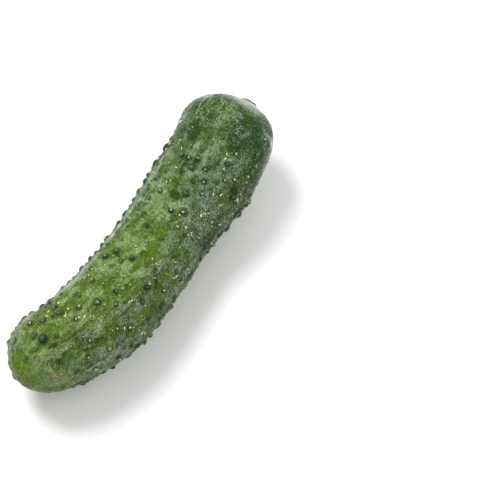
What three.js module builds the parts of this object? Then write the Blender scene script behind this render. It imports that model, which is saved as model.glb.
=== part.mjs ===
// Short warty cucumber as picked: one solid fruit lying on its side.
// Millimetres. +X runs from the blossom end to the stem end and +Z is up. The origin
// is on the surface that the fruit lies on, under the middle of its outline.
import * as THREE from "three";
import { ConvexHull } from "three/addons/math/ConvexHull.js";

// ---- Driving dimensions ----
const fruit = {
  length: 128,
  // Eleven evenly spaced stations from the blossom end to the stem end.
  radius: [14.6, 15.1, 15.5, 16.0, 15.8, 15.6, 15.6, 16.6, 17.4, 17.9, 18.2],
  sideways: [-0.6, -1.2, -4.3, -6.1, -6.0, -4.8, -3.2, -2.1, -1.2, 1.5, -0.8],
  blossomCap: 20.5, // length over which each end rounds off
  stemCap: 17,
  bellyRadius: 400, // lengthwise curve of the underside
  restX: 2, // the fruit rests under this station
  restDepth: 0.55, // how much the resting spot is flattened
};
const ribs = {
  // Low rounded ridges that run from end to end, by their angle round the fruit.
  degrees: [42, 107, 154, 210, 260, 305, 355],
  height: 0.42,
  width: 0.21, // radians
};
const warts = {
  foot: [0.75, 1.7], // radius, small to large
  height: [0.5, 1.15],
  // The upper side's warts: distance along the skin from the blossom tip, degrees round
  // the fruit, foot, and 1 for a spine.
  placed: [
    [12, 77, 1.3, 0], [15, 56, 0.95, 0], [11, 120, 1.1, 0], [14.5, 97, 1.2, 0], [20.2, 72, 1.5, 0],
    [21, 84.5, 1.7, 0], [26, 64, 1.35, 0], [23, 53, 1, 1], [24.4, 93, 0.9, 0], [32.4, 55, 1.35, 0],
    [31.4, 67.5, 1, 0], [33.2, 89, 1.15, 1], [34.4, 73, 0.85, 1], [37, 78.5, 1.3, 1], [40.8, 66, 0.9, 0],
    [42.2, 90, 1.4, 1], [19, 123, 1, 0], [26.5, 139, 0.95, 1], [30.6, 121, 0.85, 1], [40.2, 130, 0.95, 1],
    [43.8, 141, 1.3, 1], [34, 145, 1.1, 1], [20.8, 152, 1, 0], [26.5, 162, 0.9, 1], [33.8, 38, 1.2, 0],
    [47.8, 64, 1.3, 1], [49.3, 96, 1.15, 0], [57.8, 54, 1.4, 1], [61.7, 62, 1.5, 0], [66.3, 56, 1, 0],
    [55.8, 70, 0.85, 0], [59.2, 75, 1, 0], [62.2, 85, 1.05, 0], [45.6, 107, 0.8, 1], [71.4, 51, 0.85, 0],
    [74.2, 101, 1.1, 0], [57.8, 121, 1.15, 0], [53, 128, 1.2, 0], [57.8, 156, 1.5, 0],
    [61.8, 143, 0.9, 1], [69.8, 142, 1, 0], [71.6, 133, 0.75, 1], [69.5, 158, 0.9, 1], [78.5, 155, 1, 1],
    [74.4, 85, 0.95, 0], [70, 88, 0.75, 1], [78.4, 61, 1, 0], [88.3, 63, 1.3, 1], [84.6, 83, 1.2, 0],
    [84.2, 92, 1.15, 1], [91.8, 94.5, 1.35, 0], [86.4, 105, 1.2, 1], [98.8, 104.5, 1.15, 1],
    [95.4, 109.5, 1.1, 1], [102.6, 98, 1, 1], [104.2, 84, 1.2, 1], [100.2, 84, 1.3, 0], [95.5, 57, 1, 0],
    [102.2, 63, 0.95, 1], [102.6, 74, 0.95, 1], [106.6, 67, 0.85, 1], [108.6, 114, 1.05, 0],
    [104.2, 123, 0.9, 1], [107, 132, 1, 1], [102.9, 145, 1.2, 0], [105.4, 150, 0.85, 1],
    [93.2, 154, 1, 1], [97.6, 159, 1.05, 1], [81, 123, 0.85, 0], [96.6, 94, 0.9, 0], [105.2, 42, 1.05, 0],
    [96.9, 133, 0.85, 0], [90, 125, 0.8, 1], [84.3, 55, 0.9, 1], [81.2, 108, 0.75, 1], [105, 16, 1.65, 1],
    [109, 11, 1.1, 0], [97.4, 22, 1.5, 0], [93.6, 15, 0.9, 0], [90.7, 19, 1.2, 0], [86.8, 13, 1.4, 0],
    [83.5, 12, 1, 0], [81, 12.5, 0.85, 0], [77.8, 12, 1.5, 0], [73.2, 14, 1.4, 0], [66.3, 13, 1.5, 0],
    [63, 17, 1.2, 0], [59.4, 18, 1, 0], [56.5, 16, 1.2, 0], [52, 14, 1.3, 0], [47.4, 15, 0.95, 0],
    [45, 17, 1.1, 0], [42.2, 15, 1.25, 0], [35.6, 17, 1, 0], [32.2, 18, 1.3, 0], [27.8, 22, 1.2, 0],
    [22.6, 28, 1.2, 0], [62.8, 42, 1.2, 0], [60, 33, 1.15, 0], [38.5, 42, 0.8, 0], [69.5, 34, 1.1, 0],
    [88.5, 40, 0.9, 0],
  ],
  // The rest are drawn, on the under side and the back.
  seed: 20,
  drawn: 140,
  turns: [166, 369], // degrees
  gap: 0.8, // clear skin between two warts
  from: 0.035, // share of the length where the first ones stand
  full: 0.16,
  thin: 0.76,
  to: 0.83, // the stem cap beyond is smooth
};
const spine = { length: 0.45, foot: 0.3, share: 0.5, lowest: 5 };
// The two scars stand a little off the end points: by y and z from them.
const stemScar = { y: 3, z: 2.5, rim: 2.6, width: 0.6, height: 0.6, dish: 0.5 };
const blossomScar = { y: 4, z: -4.2, rim: 1.3, width: 0.4, height: 0.3, dish: 0.3 };
const skinPitch = 2.7; // spacing of the plain skin's vertices

// ---- Small tools ----
const tau = 2 * Math.PI;
const { clamp, smoothstep, lerp, degToRad } = THREE.MathUtils;

// A smooth curve through evenly spaced values, at share u of the way along.
function along(values, u) {
  const last = values.length - 1;
  const at = clamp(u, 0, 1) * last;
  const i = Math.min(Math.floor(at), last - 1);
  const t = at - i;
  const a = values[Math.max(i - 1, 0)];
  const b = values[i];
  const c = values[i + 1];
  const d = values[Math.min(i + 2, last)];
  const bend = 2 * a - 5 * b + 4 * c - d;
  return b + 0.5 * t * (c - a + t * (bend + t * (3 * (b - c) + d - a)));
}

// The same even draws on every machine.
function drawer(seed) {
  let state = seed;
  return () => {
    state = (state * 1664525 + 1013904223) % 4294967296;
    return state / 4294967296;
  };
}

// ---- Skin without warts ----
function plainRadius(u) {
  const blossom = clamp(1 - (u * fruit.length) / fruit.blossomCap, 0, 1);
  const stem = clamp(1 - ((1 - u) * fruit.length) / fruit.stemCap, 0, 1);
  return along(fruit.radius, u) * Math.sqrt((1 - blossom ** 2) * (1 - stem ** 2));
}

// Height of the ridges and of the skin's slow unevenness.
function unevenness(u, turn) {
  let height = 0.22 * Math.sin(14 * u + 2 * turn + 1) * Math.sin(9 * u - 3 * turn);
  height += 0.14 * Math.sin(31 * u + 3 * turn) * Math.sin(23 * u - 2 * turn + 2);
  for (const degrees of ribs.degrees) {
    const off = Math.atan2(Math.sin(turn - degToRad(degrees)), Math.cos(turn - degToRad(degrees)));
    height += ribs.height * Math.exp(-((off / ribs.width) ** 2));
  }
  return height;
}

function plainSkin(u, turn) {
  const full = along(fruit.radius, u);
  const radius = plainRadius(u) * (1 + unevenness(u, turn) / full);
  const x = (u - 0.5) * fruit.length;
  const lift = (x - fruit.restX) ** 2 / (2 * fruit.bellyRadius);
  return new THREE.Vector3(
    x,
    along(fruit.sideways, u) + radius * Math.cos(turn),
    full - fruit.restDepth + lift + radius * Math.sin(turn),
  );
}

// ---- The way along the skin from the blossom tip ----
// For even steps of distance: the share of the length, and a latitude that grows by
// distance over radius, so that a small shape keeps its form when drawn on a ball.
const steps = 2400;
const shares = [0];
const latitudes = [0];
const skinLength = (() => {
  const fine = [];
  const reach = [0];
  for (let i = 0; i <= steps; i++) fine.push(0.5 - 0.5 * Math.cos((Math.PI * i) / steps));
  for (let i = 1; i <= steps; i++) {
    const dx = (fine[i] - fine[i - 1]) * fruit.length;
    reach.push(reach[i - 1] + Math.hypot(dx, plainRadius(fine[i]) - plainRadius(fine[i - 1])));
  }
  for (let i = 1, j = 0; i <= steps; i++) {
    const distance = (reach[steps] * i) / steps;
    while (j < steps - 1 && reach[j + 1] < distance) j++;
    const part = clamp((distance - reach[j]) / (reach[j + 1] - reach[j]), 0, 1);
    shares.push(lerp(fine[j], fine[j + 1], part));
    const radius = plainRadius((shares[i] + shares[i - 1]) / 2);
    latitudes.push(latitudes[i - 1] + reach[steps] / steps / radius);
  }
  return reach[steps];
})();

function tabled(table, distance) {
  const at = clamp(distance / skinLength, 0, 1) * steps;
  const i = Math.min(Math.floor(at), steps - 1);
  return lerp(table[i], table[i + 1], at - i);
}

const shareAt = (distance) => tabled(shares, distance);

// ---- Warts and scars ----
const wartList = [];

function addWart(distance, turn, foot, spined) {
  const at = plainSkin(shareAt(distance), turn);
  const size = (foot - warts.foot[0]) / (warts.foot[1] - warts.foot[0]);
  const height = lerp(...warts.height, size);
  wartList.push({ at, distance, turn, foot, height, spined: spined && at.z > spine.lowest });
}

for (const [distance, degrees, foot, spined] of warts.placed) {
  addWart(distance, degToRad(degrees), foot, spined === 1);
}
{
  const draw = drawer(warts.seed);
  const enough = wartList.length + warts.drawn;
  while (wartList.length < enough) {
    const distance = draw() * skinLength;
    const turn = degToRad(lerp(...warts.turns, draw()));
    const chance = draw();
    const u = shareAt(distance);
    const crowd = 0.3 + 0.7 * smoothstep(u, warts.from, warts.full);
    const room = crowd * (1 - smoothstep(u, warts.thin, warts.to)) * (plainRadius(u) / 18);
    if (u < warts.from || chance > room) continue;
    const foot = lerp(...warts.foot, draw());
    const at = plainSkin(u, turn);
    if (wartList.some((o) => o.at.distanceTo(at) < o.foot + foot + warts.gap)) continue;
    addWart(distance, turn, foot, draw() < spine.share);
  }
}

// A place on the skin near an end point, by its y and z from that point.
function nearEnd(y, z, atStem) {
  const away = Math.hypot(y, z);
  return { distance: atStem ? skinLength - away : away, turn: Math.atan2(z, y) };
}

const scars = [
  { ...stemScar, atStem: true },
  { ...blossomScar, atStem: false },
].map((scar) => {
  const place = nearEnd(scar.y, scar.z, scar.atStem);
  return { ...scar, at: plainSkin(shareAt(place.distance), place.turn) };
});

// Height of everything that stands proud of the plain skin at a point of it.
function relief(point) {
  let height = 0;
  for (const wart of wartList) {
    const share = point.distanceTo(wart.at) / wart.foot;
    if (share > 2.5) continue;
    const dome = Math.max(0, 1 - share ** 2) ** 0.6;
    height += wart.height * (0.8 * dome + 0.2 * Math.exp(-(share ** 2) / 2));
  }
  for (const scar of scars) {
    const away = point.distanceTo(scar.at);
    height += scar.height * Math.exp(-(((away - scar.rim) / scar.width) ** 2));
    height -= scar.dish * (1 - smoothstep(away, 0.5 * scar.rim, scar.rim));
  }
  return height;
}

// A point of the finished skin; extra stands it further out.
function skinPoint(distance, turn, extra) {
  const inside = clamp(distance, 0.4, skinLength - 0.4);
  const ahead = plainSkin(shareAt(inside + 0.2), turn).sub(plainSkin(shareAt(inside - 0.2), turn));
  const u = shareAt(distance);
  const beside = plainSkin(shareAt(inside), turn + 0.01).sub(plainSkin(shareAt(inside), turn - 0.01));
  const outward = beside.cross(ahead).normalize();
  const point = plainSkin(u, turn);
  point.addScaledVector(outward, relief(point) + extra);
  point.z = Math.max(point.z, 0);
  return point;
}

// ---- Vertices ----
const vertices = [];

function addRing(centre, radius, count, twist, place) {
  for (let i = 0; i < count; i++) {
    const angle = twist + (tau * i) / count;
    vertices.push(place(centre, radius * Math.cos(angle), radius * Math.sin(angle)));
  }
}

const onFlank = (centre, dx, dy) => ({
  distance: centre.distance + dx,
  turn: centre.turn + dy / plainRadius(shareAt(centre.distance)),
  extra: 0,
});
const onEnd = (scar, dy, dz) => ({ ...nearEnd(scar.y + dy, scar.z + dz, scar.atStem), extra: 0 });

for (const wart of wartList) {
  vertices.push({ ...wart, extra: wart.spined ? spine.length : 0 });
  if (wart.spined) addRing(wart, spine.foot, 3, wart.turn, onFlank);
  addRing(wart, 0.6 * wart.foot, 5, wart.turn, onFlank);
  addRing(wart, 1.05 * wart.foot, 6, wart.turn + 0.4, onFlank);
}
scars.forEach((scar) => {
  vertices.push(onEnd(scar, 0, 0));
  addRing(scar, 0.4 * scar.rim, 7, 0, onEnd);
  addRing(scar, 0.75 * scar.rim, 16, 0, onEnd);
  addRing(scar, scar.rim, 22, 0, onEnd);
  addRing(scar, 1.25 * scar.rim, 22, 0.14, onEnd);
  addRing(scar, 1.6 * scar.rim, 16, 0, onEnd);
});

// Plain skin between them, in staggered rings.
const ringCount = Math.round(skinLength / (skinPitch * 0.866));
for (let ring = 1; ring < ringCount; ring++) {
  const distance = (skinLength * ring) / ringCount;
  const u = shareAt(distance);
  const count = Math.max(5, Math.round((tau * plainRadius(u)) / skinPitch));
  for (let i = 0; i < count; i++) {
    const turn = (tau * (i + 0.5 * (ring % 2))) / count;
    const at = plainSkin(u, turn);
    const crowded = wartList.some((o) => o.at.distanceTo(at) < 1.05 * o.foot + 0.4 * skinPitch)
      || scars.some((o) => o.at.distanceTo(at) < 1.6 * o.rim + 0.5 * skinPitch);
    if (!crowded) vertices.push({ distance, turn, extra: 0 });
  }
}

// ---- Triangles ----
// The vertices are drawn on a ball, where the hull round them joins each to its
// nearest neighbours, and are then put in their places on the skin.
const middle = latitudes[steps / 2];
const onBall = vertices.map(({ distance, turn }, index) => {
  const latitude = tabled(latitudes, distance) - middle;
  const point = new THREE.Vector3(
    Math.tanh(latitude),
    Math.cos(turn) / Math.cosh(latitude),
    Math.sin(turn) / Math.cosh(latitude),
  );
  return Object.assign(point, { index });
});
const triangles = new ConvexHull().setFromPoints(onBall).faces.flatMap((face) => [
  face.edge.tail().point.index,
  face.edge.head().point.index,
  face.edge.next.head().point.index,
]);

const geometry = new THREE.BufferGeometry();
geometry.setFromPoints(vertices.map((v) => skinPoint(v.distance, v.turn, v.extra)));
geometry.setIndex(triangles);
geometry.computeBoundingBox();
const box = geometry.boundingBox;
geometry.translate(-(box.min.x + box.max.x) / 2, -(box.min.y + box.max.y) / 2, -box.min.z);
geometry.computeVertexNormals();

const skinGreen = new THREE.MeshStandardMaterial({ color: "#5f7f45", roughness: 0.5, metalness: 0 });
const body = new THREE.Mesh(geometry, skinGreen);
body.name = "fruit";

const cucumber = new THREE.Group();
cucumber.name = "cucumber";
cucumber.add(body);

export default cucumber;
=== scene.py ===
# Short warty cucumber on a pale floor. Lengths are in millimetres until a mesh is placed.
import random
from math import cos, pi, radians, sin, sqrt, tau

import bpy
import numpy as np
from mathutils import Matrix, Vector, noise


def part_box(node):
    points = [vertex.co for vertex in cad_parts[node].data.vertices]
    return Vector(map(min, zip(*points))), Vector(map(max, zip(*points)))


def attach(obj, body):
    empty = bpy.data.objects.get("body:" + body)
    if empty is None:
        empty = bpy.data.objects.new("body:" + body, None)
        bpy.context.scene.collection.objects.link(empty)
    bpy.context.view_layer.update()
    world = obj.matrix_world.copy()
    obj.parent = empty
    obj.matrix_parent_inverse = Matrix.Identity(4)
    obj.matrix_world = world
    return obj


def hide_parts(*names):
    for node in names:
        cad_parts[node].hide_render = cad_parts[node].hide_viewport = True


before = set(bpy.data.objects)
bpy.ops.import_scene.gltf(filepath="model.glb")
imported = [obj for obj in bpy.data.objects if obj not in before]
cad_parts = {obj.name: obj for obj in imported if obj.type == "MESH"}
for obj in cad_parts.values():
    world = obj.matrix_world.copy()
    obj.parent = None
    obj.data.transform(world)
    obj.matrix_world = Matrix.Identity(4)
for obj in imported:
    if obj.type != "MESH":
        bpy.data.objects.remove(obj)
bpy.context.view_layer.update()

mm = 0.001

# the fruit's form, by the same rules as its solid
fruit = {
    "length": 128,
    "radius": [14.6, 15.1, 15.5, 16.0, 15.8, 15.6, 15.6, 16.6, 17.4, 17.9, 18.2],
    "sideways": [-0.6, -1.2, -4.3, -6.1, -6.0, -4.8, -3.2, -2.1, -1.2, 1.5, -0.8],
    "blossomCap": 20.5,
    "stemCap": 17,
    "bellyRadius": 400,
    "restX": 2,
    "restDepth": 0.55,
    "shift": (-0.407, 1.977, 0),  # puts the outline's middle at the origin
    "widest": 18,
}
ribs = {"degrees": [42, 107, 154, 210, 260, 305, 355], "height": 0.42, "width": 0.21}
warts = {
    "foot": (0.75, 1.7),  # radius, small to large
    "height": (0.5, 1.15),
    # the upper side's: distance along the skin from the blossom tip, degrees round, foot, spine
    "placed": [
        [12, 77, 1.3, 0], [15, 56, 0.95, 0], [11, 120, 1.1, 0], [14.5, 97, 1.2, 0], [20.2, 72, 1.5, 0],
        [21, 84.5, 1.7, 0], [26, 64, 1.35, 0], [23, 53, 1, 1], [24.4, 93, 0.9, 0], [32.4, 55, 1.35, 0],
        [31.4, 67.5, 1, 0], [33.2, 89, 1.15, 1], [34.4, 73, 0.85, 1], [37, 78.5, 1.3, 1],
        [40.8, 66, 0.9, 0], [42.2, 90, 1.4, 1], [19, 123, 1, 0], [26.5, 139, 0.95, 1], [30.6, 121, 0.85, 1],
        [40.2, 130, 0.95, 1], [43.8, 141, 1.3, 1], [34, 145, 1.1, 1], [20.8, 152, 1, 0],
        [26.5, 162, 0.9, 1], [33.8, 38, 1.2, 0], [47.8, 64, 1.3, 1], [49.3, 96, 1.15, 0],
        [57.8, 54, 1.4, 1], [61.7, 62, 1.5, 0], [66.3, 56, 1, 0], [55.8, 70, 0.85, 0], [59.2, 75, 1, 0],
        [62.2, 85, 1.05, 0], [45.6, 107, 0.8, 1], [71.4, 51, 0.85, 0], [74.2, 101, 1.1, 0],
        [57.8, 121, 1.15, 0], [53, 128, 1.2, 0], [57.8, 156, 1.5, 0], [61.8, 143, 0.9, 1],
        [69.8, 142, 1, 0], [71.6, 133, 0.75, 1], [69.5, 158, 0.9, 1], [78.5, 155, 1, 1],
        [74.4, 85, 0.95, 0], [70, 88, 0.75, 1], [78.4, 61, 1, 0], [88.3, 63, 1.3, 1], [84.6, 83, 1.2, 0],
        [84.2, 92, 1.15, 1], [91.8, 94.5, 1.35, 0], [86.4, 105, 1.2, 1], [98.8, 104.5, 1.15, 1],
        [95.4, 109.5, 1.1, 1], [102.6, 98, 1, 1], [104.2, 84, 1.2, 1], [100.2, 84, 1.3, 0],
        [95.5, 57, 1, 0], [102.2, 63, 0.95, 1], [102.6, 74, 0.95, 1], [106.6, 67, 0.85, 1],
        [108.6, 114, 1.05, 0], [104.2, 123, 0.9, 1], [107, 132, 1, 1], [102.9, 145, 1.2, 0],
        [105.4, 150, 0.85, 1], [93.2, 154, 1, 1], [97.6, 159, 1.05, 1], [81, 123, 0.85, 0],
        [96.6, 94, 0.9, 0], [105.2, 42, 1.05, 0], [96.9, 133, 0.85, 0], [90, 125, 0.8, 1],
        [84.3, 55, 0.9, 1], [81.2, 108, 0.75, 1], [105, 16, 1.65, 1], [109, 11, 1.1, 0], [97.4, 22, 1.5, 0],
        [93.6, 15, 0.9, 0], [90.7, 19, 1.2, 0], [86.8, 13, 1.4, 0], [83.5, 12, 1, 0], [81, 12.5, 0.85, 0],
        [77.8, 12, 1.5, 0], [73.2, 14, 1.4, 0], [66.3, 13, 1.5, 0], [63, 17, 1.2, 0], [59.4, 18, 1, 0],
        [56.5, 16, 1.2, 0], [52, 14, 1.3, 0], [47.4, 15, 0.95, 0], [45, 17, 1.1, 0], [42.2, 15, 1.25, 0],
        [35.6, 17, 1, 0], [32.2, 18, 1.3, 0], [27.8, 22, 1.2, 0], [22.6, 28, 1.2, 0], [62.8, 42, 1.2, 0],
        [60, 33, 1.15, 0], [38.5, 42, 0.8, 0], [69.5, 34, 1.1, 0], [88.5, 40, 0.9, 0],
    ],
    # the rest are drawn
    "seed": 20,
    "drawn": 140,
    "turns": (166, 369),
    "gap": 0.8,
    "from": 0.035,
    "full": 0.16,
    "thin": 0.76,
    "to": 0.83,
}
spineRule = {"share": 0.5, "lowest": 5}  # of the drawn warts, and none below that height
stemScar = {"y": 3, "z": 2.5, "rim": 2.6, "width": 0.6, "height": 0.6, "dish": 0.5, "atStem": True}
blossomScar = {"y": 4, "z": -4.2, "rim": 1.3, "width": 0.4, "height": 0.3, "dish": 0.3, "atStem": False}


def lerp(a, b, t):
    return a + (b - a) * t


def smoothstep(value, low, high):
    t = np.clip((value - low) / (high - low), 0, 1)
    return t * t * (3 - 2 * t)


def along(values, u):  # smooth curve through evenly spaced values
    values = np.asarray(values, float)
    last = len(values) - 1
    at = np.clip(u, 0, 1) * last
    i = np.minimum(np.floor(at).astype(int), last - 1)
    t = at - i
    a, b = values[np.maximum(i - 1, 0)], values[i]
    c, d = values[i + 1], values[np.minimum(i + 2, last)]
    bend = 2 * a - 5 * b + 4 * c - d
    return b + 0.5 * t * (c - a + t * (bend + t * (3 * (b - c) + d - a)))


def plainRadius(u):
    blossom = np.clip(1 - u * fruit["length"] / fruit["blossomCap"], 0, 1)
    stem = np.clip(1 - (1 - u) * fruit["length"] / fruit["stemCap"], 0, 1)
    return along(fruit["radius"], u) * np.sqrt((1 - blossom ** 2) * (1 - stem ** 2))


def unevenness(u, turn):
    height = 0.22 * np.sin(14 * u + 2 * turn + 1) * np.sin(9 * u - 3 * turn)
    height = height + 0.14 * np.sin(31 * u + 3 * turn) * np.sin(23 * u - 2 * turn + 2)
    for angle in ribs["degrees"]:
        off = np.arctan2(np.sin(turn - radians(angle)), np.cos(turn - radians(angle)))
        height = height + ribs["height"] * np.exp(-((off / ribs["width"]) ** 2))
    return height


def plainSkin(u, turn):
    full = along(fruit["radius"], u)
    radius = plainRadius(u) * (1 + unevenness(u, turn) / full)
    x = (u - 0.5) * fruit["length"]
    lift = (x - fruit["restX"]) ** 2 / (2 * fruit["bellyRadius"])
    y = along(fruit["sideways"], u) + radius * np.cos(turn)
    z = full - fruit["restDepth"] + lift + radius * np.sin(turn)
    return np.stack([x + 0 * y, y, z], axis=-1)


# the way along the skin from the blossom tip
steps = 2400
fineShares = 0.5 - 0.5 * np.cos(pi * np.arange(steps + 1) / steps)
reach = np.concatenate([[0], np.cumsum(np.hypot(
    np.diff(fineShares) * fruit["length"], np.diff(plainRadius(fineShares))))])
skinLength = reach[-1]
evenShares = np.interp(np.linspace(0, skinLength, steps + 1), reach, fineShares)


def shareAt(distance):
    return np.interp(distance, np.linspace(0, skinLength, steps + 1), evenShares)


def wartAt(distance, turn, foot, spined):
    at = plainSkin(shareAt(distance), turn)
    size = (foot - warts["foot"][0]) / (warts["foot"][1] - warts["foot"][0])
    return {"at": at, "distance": distance, "turn": turn, "foot": foot,
            "height": lerp(*warts["height"], size),
            "spined": bool(spined) and at[2] > spineRule["lowest"]}


def growWarts():
    state = warts["seed"]

    def draw():
        nonlocal state
        state = (state * 1664525 + 1013904223) % 4294967296
        return state / 4294967296

    grown = [wartAt(distance, radians(angle), foot, spined)
             for distance, angle, foot, spined in warts["placed"]]
    enough = len(grown) + warts["drawn"]
    while len(grown) < enough:
        distance, turn, chance = draw() * skinLength, radians(lerp(*warts["turns"], draw())), draw()
        u = shareAt(distance)
        crowd = 0.3 + 0.7 * smoothstep(u, warts["from"], warts["full"])
        room = crowd * (1 - smoothstep(u, warts["thin"], warts["to"])) * (plainRadius(u) / fruit["widest"])
        if u < warts["from"] or chance > room:
            continue
        foot = lerp(*warts["foot"], draw())
        at = plainSkin(u, turn)
        if any(sqrt(sum((o["at"] - at) ** 2)) < o["foot"] + foot + warts["gap"] for o in grown):
            continue
        grown.append(wartAt(distance, turn, foot, draw() < spineRule["share"]))
    return grown


wartList = growWarts()
print("warts", len(wartList))


def nearEnd(y, z, atStem):  # a place near an end point, by its y and z from it
    away = np.hypot(y, z)
    return (skinLength - away if atStem else away), np.arctan2(z, y)


def scarAt(scar):
    distance, turn = nearEnd(scar["y"], scar["z"], scar["atStem"])
    return plainSkin(shareAt(distance), turn)


def outwardAt(distance, turn):
    inside = np.clip(distance, 0.4, skinLength - 0.4)
    ahead = plainSkin(shareAt(inside + 0.2), turn) - plainSkin(shareAt(inside - 0.2), turn)
    beside = plainSkin(shareAt(inside), turn + 0.01) - plainSkin(shareAt(inside), turn - 0.01)
    out = np.cross(beside, ahead)
    return out / np.linalg.norm(out, axis=-1, keepdims=True)


def noiseOf(points, scale, seed=0):  # smooth noise from -1 to 1 at points in millimetres
    move = Vector((seed * 7.3, seed * 3.1, seed * 5.7))
    return np.array([noise.noise(Vector(p) * scale + move) for p in points.tolist()])


# small pimples between the warts
pimples = {
    "seed": 7,
    "count": 380,
    "foot": (0.5, 1.0),
    "height": (0.2, 0.42),
    "gap": 0.25,
    "dotted": 0.36,  # share that carry a small spine
    "start": (0.02, 0.12),  # shares of the length between which they get many, and few again
    "end": (0.78, 0.86),
}


def growPimples():
    draw = random.Random(pimples["seed"])
    taken = [(w["at"], w["foot"]) for w in wartList]
    grown = []
    while len(grown) < pimples["count"]:
        distance, turn = draw.random() * skinLength, draw.random() * tau
        u = shareAt(distance)
        crowd = smoothstep(u, *pimples["start"]) * (1 - smoothstep(u, *pimples["end"]))
        crowd = crowd * plainRadius(u) / fruit["widest"]
        foot = lerp(*pimples["foot"], draw.random() ** 1.5)
        at = plainSkin(u, turn)
        if draw.random() > crowd:
            continue
        places, feet = np.array([t[0] for t in taken]), np.array([t[1] for t in taken])
        if np.any(np.linalg.norm(places - at, axis=1) < feet + foot + pimples["gap"]):
            continue
        height = lerp(*pimples["height"], draw.random())
        spined = draw.random() < pimples["dotted"] and at[2] > spineRule["lowest"]
        taken.append((at, foot))
        grown.append({"at": at, "distance": distance, "turn": turn, "foot": foot,
                      "height": height, "spined": spined})
    return grown


pimpleList = growPimples()
print("pimples", len(pimpleList))


skin = {
    "segments": 250,
    "rings": 390,
    "dents": (0.18, 0.3),  # height, and how closely they follow each other
    "lumps": (0.34, 0.58),
    "grain": (0.15, 1.15),
    "creases": (0.14, 0.25),
    "creaseWidth": 0.09,
    "ridges": 0.22,  # height of the shiny lines
    "ragged": 0.16,  # how far a wart's outline strays from round
}
wartShape = {
    "round": 0.6,  # lower is a steeper side
    "dome": 0.92,
    "skirt": 0.2,  # height of the soft swelling round it
    "tip": (0.4, 0.02, -0.14),  # radius, and height with a spine and without
    "halo": 1.45,  # reach of the dark skin, in feet of the wart
    "dark": (0.45, 0.8, 0.3),  # least, more by chance, and more for each millimetre of foot
    "seed": 4,  # draws that chance
    "faint": (12, 20),  # they grow dark between these distances from the blossom tip
}

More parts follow.
